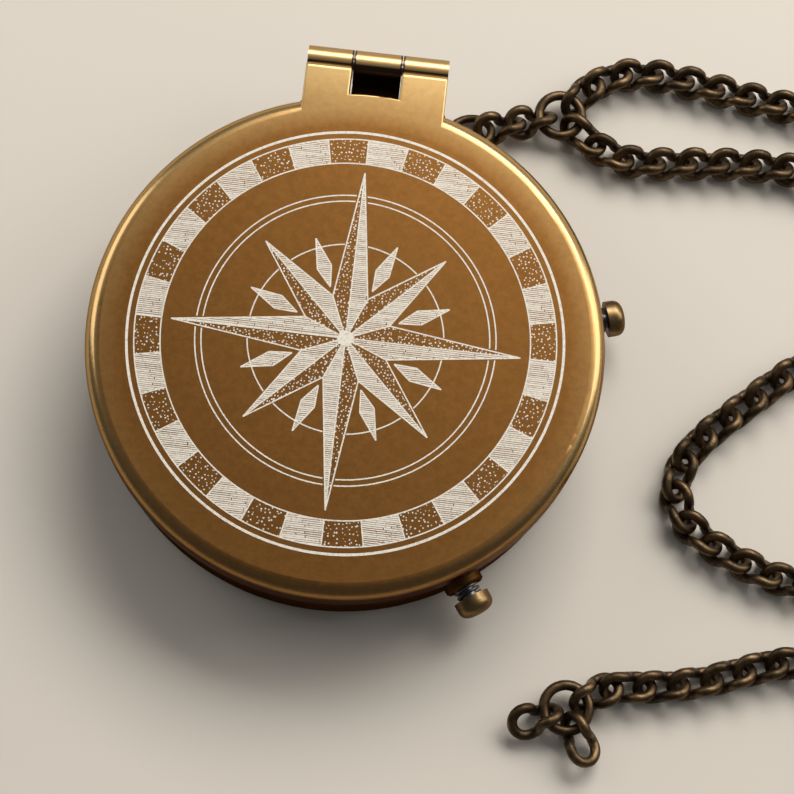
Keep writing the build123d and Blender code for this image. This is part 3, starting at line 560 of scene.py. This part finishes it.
class Plate:
    """Thin flat shapes at one height, gathered into one mesh."""

    def __init__(self, height, relief):
        self.mesh = bmesh.new()
        self.low = height - relief
        self.high = height + relief
        self.relief = relief
        self.count = 0

    def polygon(self, points, tier=0.0):
        """A thin prism. A tier raises its top, to keep crossing lines apart."""
        top = self.high + tier * self.relief
        lower = [self.mesh.verts.new((x, y, self.low)) for x, y in points]
        upper = [self.mesh.verts.new((x, y, top)) for x, y in points]
        self.mesh.faces.new(upper)
        self.mesh.faces.new(list(reversed(lower)))
        for i in range(len(points)):
            j = (i + 1) % len(points)
            self.mesh.faces.new((lower[i], lower[j], upper[j], upper[i]))

    def band(self, inner, outer, start, end, steps):
        """A ring, or the part of one between two clock angles in degrees."""
        top = self.high + RING_TIER * self.relief
        corners = ((inner, top), (outer, top), (outer, self.low), (inner, self.low))
        closed = end - start == 360
        rows = []
        for i in range(steps if closed else steps + 1):
            angle = start + (end - start) * i / steps
            rows.append([self.mesh.verts.new((*clock(angle, radius), height))
                         for radius, height in corners])
        for i in range(steps):
            first, second = rows[i], rows[(i + 1) % len(rows)]
            for j in range(len(corners)):
                k = (j + 1) % len(corners)
                self.mesh.faces.new((second[j], second[k], first[k], first[j]))
        if not closed:
            self.mesh.faces.new(rows[0])
            self.mesh.faces.new(rows[-1][::-1])

    def stroke(self, begin, end, width):
        along = Vector(end) - Vector(begin)
        side = Vector((-along.y, along.x)).normalized() * (width / 2)
        corners = [Vector(begin) - side, Vector(end) - side, Vector(end) + side,
                   Vector(begin) + side]
        self.count += 1
        tier = STROKE_TIERS[self.count % len(STROKE_TIERS)]
        self.polygon([tuple(corner) for corner in corners], tier)

    def outline(self, points, width):
        for begin, end in zip(points, points[1:] + points[:1]):
            self.stroke(begin, end, width)

    def hatch(self, points, pitch, rng):
        """Level strokes of uneven weight across an outline."""
        level = min(y for _, y in points) + pitch / 2
        while level < max(y for _, y in points):
            crossings = []
            for (xa, ya), (xb, yb) in zip(points, points[1:] + points[:1]):
                if (ya > level) != (yb > level):
                    crossings.append(xa + (level - ya) * (xb - xa) / (yb - ya))
            crossings.sort()
            for left, right in zip(crossings[::2], crossings[1::2]):
                self.hatch_line(left, right, level, pitch, rng)
            level += pitch

    def hatch_line(self, left, right, level, pitch, rng):
        """One level of hatching, broken into strokes."""
        spot = left
        while spot < right - SHORTEST_STROKE * pitch:
            reach = min(right, spot + rng.uniform(*STROKE_RUN) * pitch)
            half = pitch * rng.uniform(*STROKE_HALF_WIDTH)
            self.polygon([(spot, level - half), (reach, level - half), (reach, level + half),
                          (spot, level + half)])
            spot = reach + pitch * rng.uniform(*STROKE_BREAK)

    def stipple(self, points, pitch, size, rng):
        """Uneven dots inside an outline."""
        left, right = min(x for x, _ in points), max(x for x, _ in points)
        low, high = min(y for _, y in points), max(y for _, y in points)
        for i in range(int((high - low) / pitch) + 1):
            for j in range(int((right - left) / pitch) + 1):
                spot = (left + (j + rng.uniform(*DOT_SPOT)) * pitch,
                        low + (i + rng.uniform(*DOT_SPOT)) * pitch)
                radius = size * rng.uniform(*DOT_SIZE)
                if inside(spot, points) and rng.random() < DOT_SHARE:
                    self.dot(spot, radius, rng.uniform(0, 360 / DOT_SIDES))

    def dot(self, spot, radius, turn):
        angles = [math.radians(turn + 360 / DOT_SIDES * k) for k in range(DOT_SIDES)]
        self.polygon([(spot[0] + radius * math.cos(angle), spot[1] + radius * math.sin(angle))
                      for angle in angles])

    def text(self, words, size, spot, turn):
        """Upright figures centred on a spot, turned about Z."""
        curve = bpy.data.curves.new(words, "FONT")
        curve.body = words
        curve.size = size
        curve.align_x = "CENTER"
        curve.align_y = "CENTER"
        curve.extrude = (self.high - self.low) / 2
        holder = bpy.data.objects.new(words, curve)
        mesh = bpy.data.meshes.new_from_object(holder)
        height = (self.low + self.high) / 2
        place = Matrix.Translation((*spot, height)) @ Matrix.Rotation(turn, 4, "Z")
        mesh.transform(place)
        self.mesh.from_mesh(mesh)
        bpy.data.meshes.remove(mesh)
        bpy.data.objects.remove(holder)
        bpy.data.curves.remove(curve)

    def piece(self, name, body, slot, material):
        mesh = bpy.data.meshes.new(name)
        self.mesh.to_mesh(mesh)
        self.mesh.free()
        mesh.materials.append(material)
        piece = bpy.data.objects.new(name, mesh)
        bpy.context.scene.collection.objects.link(piece)
        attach(piece, body)


def clock(degrees, radius):
    """The point at a clock angle from the hinge side and a distance from the centre."""
    return (radius * math.sin(math.radians(degrees)), radius * math.cos(math.radians(degrees)))


def inside(spot, points):
    x, y = spot
    found = False
    for (xa, ya), (xb, yb) in zip(points, points[1:] + points[:1]):
        if (ya > y) != (yb > y) and x < xa + (y - ya) * (xb - xa) / (yb - ya):
            found = not found
    return found


def sector(inner, outer, start, end, steps):
    """Outline of a part of a ring, anticlockwise."""
    angles = [start + (end - start) * i / steps for i in range(steps + 1)]
    return [clock(a, outer) for a in reversed(angles)] + [clock(a, inner) for a in angles]


def point_reach(sizes, k):
    """Reach of a rose's point, long and short by turns."""
    return sizes.long_point if k % 2 == 0 else sizes.short_point


def star_halves(reach, shoulder, turn):
    """The two triangles of one point of a rose, the left one first."""
    tip = clock(turn, reach)
    left = clock(turn - POINT_TURN / 2, shoulder)
    right = clock(turn + POINT_TURN / 2, shoulder)
    return [(0.0, 0.0), tip, left], [(0.0, 0.0), right, tip]


class COMPASS_OT_case_brass(bpy.types.Operator):
    """Gives the case, the lid, the button collars and the bow eye their patinated brass, with painted
    highlights on the lid and painted shade
    """
    bl_idname = "compass.case_brass"
    bl_label = "Case and lid"

    def execute(self, context):
        tones = context.scene.compass_finishes
        finish_nodes(lid_brass("case_brass", tones, gloss=0.26), "lid_shell", "case_hinge_lug")
        # Painted shade: the case cup, the collars and the bow eye get a darker copy of the brass, its
        # rubbed tone halved.
        rubbed = scaled(tones.brass_rubbed, 0.5)
        shaded = antique_brass("shaded_brass", rubbed, tones.brass_dark, gloss=0.42, lacquer=0.0)
        finish_nodes(shaded, "case_cup", "bow_eye", "latch_collar", "lock_collar")
        return {"FINISHED"}


class COMPASS_OT_buttons(bpy.types.Operator):
    """Gives the heads of the two push buttons darker brass, rubbed in patches; the darker tone is
    partly painted shade
    """
    bl_idname = "compass.buttons"
    bl_label = "Buttons"

    def execute(self, context):
        tones = context.scene.compass_finishes
        # The patina of the heads is the painted-shade brass, so they are partly painted shade.
        rubbed = scaled(tones.brass_bare, 0.6)
        brass = antique_brass(
            "button_brass", rubbed, tones.brass_dark, gloss=0.26, grain=EVEN_GRAIN)
        finish_nodes(brass, "latch_head", "lock_head")
        return {"FINISHED"}


class COMPASS_OT_works(bpy.types.Operator):
    """Gives the inner brass, the steel, the seal, the glass, the jewel and the needle their finishes"""
    bl_idname = "compass.works"
    bl_label = "Works"

    def execute(self, context):
        tones = context.scene.compass_finishes
        brass = antique_brass("inner_brass", tones.brass_bare, tones.brass_rubbed, gloss=0.28)
        finish_nodes(brass, "dial_spacer", "chapter_ring", "bezel_ring", "needle_cap",
                     "lifter_lever", "lifter_sleeve", "lifter_bracket")
        steel = satin_steel("steel", tones.steel)
        finish_nodes(steel, "hinge_pin", "pivot_post", "fulcrum_pin", "bracket_screws",
                     "lid_catch")
        finish_nodes(black_rubber("gasket_rubber"), "crystal_gasket")
        finish_nodes(clear_glass("crystal_glass"), "crystal")
        finish_nodes(ruby_jewel("jewel", tones.ruby), "needle_jewel")
        finish_nodes(painted_needle("needle_steel", tones.north, tones.south), "needle_blade")
        return {"FINISHED"}


class COMPASS_OT_springs(bpy.types.Operator):
    """Sets darker steel, as painted shade, on the stems and coils behind the button heads"""
    bl_idname = "compass.springs"
    bl_label = "Button springs"

    def coil(self, name, press, steel):
        """A copy of the spring's solid in the darker steel, set on the case in place of the spring."""
        inward = Vector(press["axis"])
        mesh = NODES[f"{name}_spring"].data.copy()
        mesh.materials.clear()
        mesh.materials.append(steel)
        piece = bpy.data.objects.new(f"{name}_coil", mesh)
        bpy.context.scene.collection.objects.link(piece)
        seat = max((vertex.co for vertex in mesh.vertices), key=inward.dot)
        head = min((vertex.co for vertex in mesh.vertices), key=inward.dot)
        length = inward.dot(seat - head)
        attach(piece, "case")
        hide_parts(f"{name}_spring")
        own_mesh(piece)

    def execute(self, context):
        # Painted shade: a darker copy of the steel for the stems and coils in the gap behind the heads.
        steel = satin_steel("shaded_steel", scaled(context.scene.compass_finishes.steel, 0.35))
        finish_nodes(steel, "latch_stem", "lock_stem")
        for press in frame["joints"]:
            for name in ("latch", "lock"):
                if press["name"] == f"{name}_press":
                    self.coil(name, press, steel)
        return {"FINISHED"}


class COMPASS_OT_chain(bpy.types.Operator):
    bl_idname = "compass.chain"
    bl_label = "Chain"

    def route_line(self, name, route):
        """Points of the smooth line that a strand follows, and its length."""
        curve = bpy.data.curves.new(name, "CURVE")
        curve.dimensions = "3D"
        spline = curve.splines.new("NURBS")
        spline.points.add(len(route) - 1)
        for point, (x, y) in zip(spline.points, route):
            point.co = (x * MM, y * MM, CHAIN_HEIGHT, 1)
        spline.order_u = 3
        spline.use_endpoint_u = True
        holder = bpy.data.objects.new(name, curve)
        mesh = bpy.data.meshes.new_from_object(holder)
        path = [vertex.co.copy() for vertex in mesh.vertices]
        bpy.data.meshes.remove(mesh)
        bpy.data.objects.remove(holder)
        bpy.data.curves.remove(curve)
        return path, sum((b - a).length for a, b in zip(path, path[1:]))

    def execute(self, context):
        tones = context.scene.compass_finishes
        bronze = dark_bronze("chain_bronze", tones.bronze_rubbed, tones.bronze_toned)
        finish_nodes(bronze, "bow_ring", "chain_neck", "chain_junction_ring", "chain_main",
                     "chain_main_end_ring", "chain_end_links", "chain_branch",
                     "chain_branch_end_ring")
        path, length = self.route_line("main_line", MAIN_ROUTE)
        path, length = self.route_line("branch_line", BRANCH_ROUTE)
        return {"FINISHED"}


class COMPASS_OT_lid_engraving(bpy.types.Operator):
    """Etches a wind rose in a divided ring on the lid"""
    bl_idname = "compass.lid_engraving"
    bl_label = "Lid engraving"

    def rose(self, plate, sizes, rng):
        line = sizes.line
        for k in range(POINTS):
            turn = POINT_TURN * k
            left, right = star_halves(point_reach(sizes, k), sizes.shoulder, turn)
            for begin, end in ((left[0], left[1]), (left[1], left[2]), (left[1], right[1]),
                               (left[0], left[2])):
                plate.stroke(begin, end, line)
            plate.hatch(right, sizes.hatch_pitch, rng)
            plate.stipple(left, POINT_DOTS["pitch"] * line, POINT_DOTS["size"] * line, rng)
            middle = turn + POINT_TURN / 2
            diamond = [
                clock(middle, sizes.diamond_foot),
                clock(middle + DIAMOND_SPREAD, sizes.diamond_waist),
                clock(middle, sizes.diamond_tip),
                clock(middle - DIAMOND_SPREAD, sizes.diamond_waist),
            ]
            plate.outline(diamond, line)
            plate.hatch(diamond, sizes.hatch_pitch, rng)
        hub = [clock(-360 / HUB_SIDES * i, HUB_RADIUS * line) for i in range(HUB_SIDES)]
        plate.polygon(hub, RING_TIER)

    def ring_arcs(self, plate, sizes, radius):
        """A fine circle that stops at each point of the rose."""
        gaps = []
        shoulder = Vector(clock(POINT_TURN / 2, sizes.shoulder))
        for k in range(POINTS):
            reach = point_reach(sizes, k)
            tip = Vector(clock(0, reach))
            half = 0.0
            for i in range(EDGE_SAMPLES + 1):
                spot = shoulder.lerp(tip, i / EDGE_SAMPLES)
                if spot.length <= radius:
                    half = math.degrees(math.atan2(spot.x, spot.y))
            gaps.append(half + ARC_CLEARANCE if reach > radius else 0.0)
        for k in range(POINTS):
            start = POINT_TURN * k + gaps[k]
            end = POINT_TURN * (k + 1) - gaps[(k + 1) % POINTS]
            plate.band(radius - sizes.line / 2, radius + sizes.line / 2, start, end, ARC_STEPS)

    def scale_ring(self, plate, sizes, rng):
        line = sizes.line
        for radius, width in ((sizes.border_radius, 2 * line), (sizes.scale_outer, line),
                              (sizes.scale_inner, line)):
            plate.band(radius - width / 2, radius + width / 2, 0, 360, LID_RING_STEPS)
        for k in range(BLOCKS):
            start, end = BLOCK_TURN * k, BLOCK_TURN * (k + 1)
            plate.stroke(clock(start, sizes.scale_inner), clock(start, sizes.scale_outer), line)
            block = sector(sizes.scale_inner, sizes.scale_outer, start, end, BLOCK_STEPS)
            if k % 2 == 0:
                plate.hatch(block, sizes.hatch_pitch, rng)
            else:
                plate.stipple(block, BLOCK_DOTS["pitch"] * line, BLOCK_DOTS["size"] * line, rng)

    def execute(self, context):
        sizes = context.scene.compass_engraving
        rng = random.Random(sizes.seed)
        plate = Plate(LID_TOP, sizes.relief)
        self.rose(plate, sizes, rng)
        self.scale_ring(plate, sizes, rng)
        for radius in (sizes.pair_inner, sizes.pair_outer, sizes.small_circle):
            self.ring_arcs(plate, sizes, radius)
        etch = etched_line("lid_etch", context.scene.compass_finishes.etch)
        plate.piece("lid_engraving", "lid", "case_brass", etch)
        return {"FINISHED"}


class COMPASS_OT_dial(bpy.types.Operator):
    """Enamels the dial and prints its degrees, points and rose"""
    bl_idname = "compass.dial"
    bl_label = "Dial"

    def degree_marks(self, plate, sizes):
        for degree in range(0, 360, 2):
            if degree % 30 == 0:
                begin, width = sizes.thirty_start, sizes.thirty_width
            elif degree % 10 == 0:
                begin, width = sizes.ten_start, sizes.ten_width
            else:
                begin, width = sizes.two_start, sizes.two_width
            plate.stroke(clock(degree, begin), clock(degree, sizes.mark_end), width)
        half = sizes.circle_width / 2
        for radius in (sizes.border, sizes.circle_outer, sizes.circle_inner):
            plate.band(radius - half, radius + half, 0, 360, DIAL_RING_STEPS)

    def figures(self, plate, sizes):
        for degree in range(0, 360, 30):
            if degree % 90:
                spot = clock(degree, sizes.figure_radius)
                plate.text(str(degree), sizes.figure_size, spot, -math.radians(degree))
        for letter, degree in (("N", 0), ("E", 90), ("S", 180), ("W", 270)):
            spot = clock(degree, sizes.letter_radius)
            plate.text(letter, sizes.letter_size, spot, -math.radians(degree))

    def rose(self, plate, sizes):
        """Points with one half in outline and the other filled."""
        for k in range(POINTS):
            turn = POINT_TURN * k
            left, right = star_halves(point_reach(sizes, k), sizes.shoulder, turn)
            foot = clock(turn, sizes.foot)
            plate.outline([foot, left[1], left[2]], sizes.line)
            plate.polygon([foot, right[1], right[2]])

    def execute(self, context):
        tones = context.scene.compass_finishes
        sizes = context.scene.compass_dial
        finish_nodes(printed("dial_enamel", tones.dial, roughness=0.42), "dial_plate")
        plate = Plate(DIAL_TOP, sizes.relief)
        self.degree_marks(plate, sizes)
        self.figures(plate, sizes)
        self.rose(plate, sizes)
        ink = printed("dial_ink", tones.ink, roughness=0.4)
        plate.piece("dial_print", "case", "dial_enamel", ink)
        return {"FINISHED"}


class COMPASS_OT_stage(bpy.types.Operator):
    """Sets the plain floor, the soft lamps, the room and the camera"""
    bl_idname = "compass.stage"
    bl_label = "Stage"

    def floor(self, tone):
        mesh = bpy.data.meshes.new("floor")
        build = bmesh.new()
        bmesh.ops.create_circle(build, cap_ends=True, segments=FLOOR_SIDES, radius=FLOOR_RADIUS)
        build.to_mesh(mesh)
        build.free()
        material, shade = start_finish("floor")
        mottle = noise(shade, place_of(shade), scale=14, detail=3, roughness=0.5)
        pale = [min(1.0, 1.03 * part) for part in tone]
        end_finish(shade, {
            "Base Color": mottle.between(opaque(tone), opaque(pale)), "Roughness": 0.75,
        })
        mesh.materials.append(material)
        floor = bpy.data.objects.new("floor", mesh)
        floor.location.z = -FLOOR_DROP
        bpy.context.scene.collection.objects.link(floor)

    def lamp(self, name, power):
        """A soft lamp that points at the compass."""
        lamp = LAMPS[name]
        light = bpy.data.lights.new(name, "AREA")
        light.shape = "RECTANGLE"
        light.size, light.size_y = lamp["size"]
        light.energy = power
        light.color = lamp["tint"]
        holder = bpy.data.objects.new(name, light)
        away = Vector(lamp["place"]) - Vector(LAMP_AIM)
        turn = away.to_track_quat("Z", "Y").to_matrix().to_4x4()
        holder.matrix_world = Matrix.Translation(lamp["place"]) @ turn
        bpy.context.scene.collection.objects.link(holder)

    def room(self, low, high):
        world = bpy.data.worlds.new("room")
        world.use_nodes = True
        world.node_tree.nodes.clear()
        shade = Shade(world.node_tree)
        facing = shade.node("ShaderNodeTexCoord", output="Generated")
        toward = shade.node("ShaderNodeVectorMath", {"operation": "DOT_PRODUCT"},
                            {0: facing, 1: BRIGHT_SIDE}, "Value")
        level = toward.ramp((0.35, low), (0.98, high))
        surface = shade.node("ShaderNodeBackground", {}, {"Color": level, "Strength": 1.0})
        shade.node("ShaderNodeOutputWorld", {}, {"Surface": surface}, None)
        bpy.context.scene.world = world

    def camera(self):
        camera = bpy.data.cameras.new("camera")
        camera.lens = CAMERA_LENS
        camera.sensor_width = CAMERA_SENSOR
        camera.shift_x, camera.shift_y = CAMERA_SHIFT
        camera.clip_start = CAMERA_NEAR
        holder = bpy.data.objects.new("camera", camera)
        turn = Matrix((CAMERA_RIGHT, CAMERA_UP, CAMERA_BACK)).transposed().to_4x4()
        holder.matrix_world = Matrix.Translation(CAMERA_PLACE) @ turn
        bpy.context.scene.collection.objects.link(holder)
        bpy.context.scene.camera = holder

    def execute(self, context):
        stage = context.scene.compass_stage
        self.floor(stage.floor)
        self.lamp("key_lamp", stage.key_power)
        self.lamp("rim_lamp", stage.rim_power)
        self.lamp("fill_lamp", stage.fill_power)
        self.room(stage.world_low, stage.world_high)
        self.camera()
        context.scene.view_settings.view_transform = "Standard"
        return {"FINISHED"}


class COMPASS_PT_build(bpy.types.Panel):
    """Lists the steps that dress the compass"""
    bl_idname = "COMPASS_PT_build"
    bl_label = "Pocket compass"
    bl_space_type = "VIEW_3D"
    bl_region_type = "UI"
    bl_category = "Compass"

    def draw(self, context):
        for step in STEPS:
            self.layout.operator(step.bl_idname)
        for group in GROUPS:
            settings = getattr(context.scene, group)
            for name in settings.__annotations__:
                self.layout.prop(settings, name)


GROUPS = {
    "compass_finishes": CompassFinishes,
    "compass_engraving": CompassEngraving,
    "compass_dial": CompassDial,
    "compass_stage": CompassStage,
}
STEPS = (
    COMPASS_OT_stage, COMPASS_OT_chain, COMPASS_OT_case_brass, COMPASS_OT_buttons,
    COMPASS_OT_works, COMPASS_OT_springs, COMPASS_OT_lid_engraving, COMPASS_OT_dial,
)


def register():
    for item in (*GROUPS.values(), *STEPS, COMPASS_PT_build):
        bpy.utils.register_class(item)
    for name, group in GROUPS.items():
        setattr(bpy.types.Scene, name, bpy.props.PointerProperty(type=group))


def unregister():
    for name in GROUPS:
        delattr(bpy.types.Scene, name)
    for item in (COMPASS_PT_build, *reversed(STEPS), *GROUPS.values()):
        bpy.utils.unregister_class(item)


def main():
    register()
    bpy.ops.compass.stage()
    bpy.ops.compass.chain()
    bpy.ops.compass.case_brass()
    bpy.ops.compass.buttons()
    bpy.ops.compass.works()
    bpy.ops.compass.springs()
    bpy.ops.compass.lid_engraving()
    bpy.ops.compass.dial()
    bpy.context.view_layer.update()


if __name__ == "__main__":
    main()
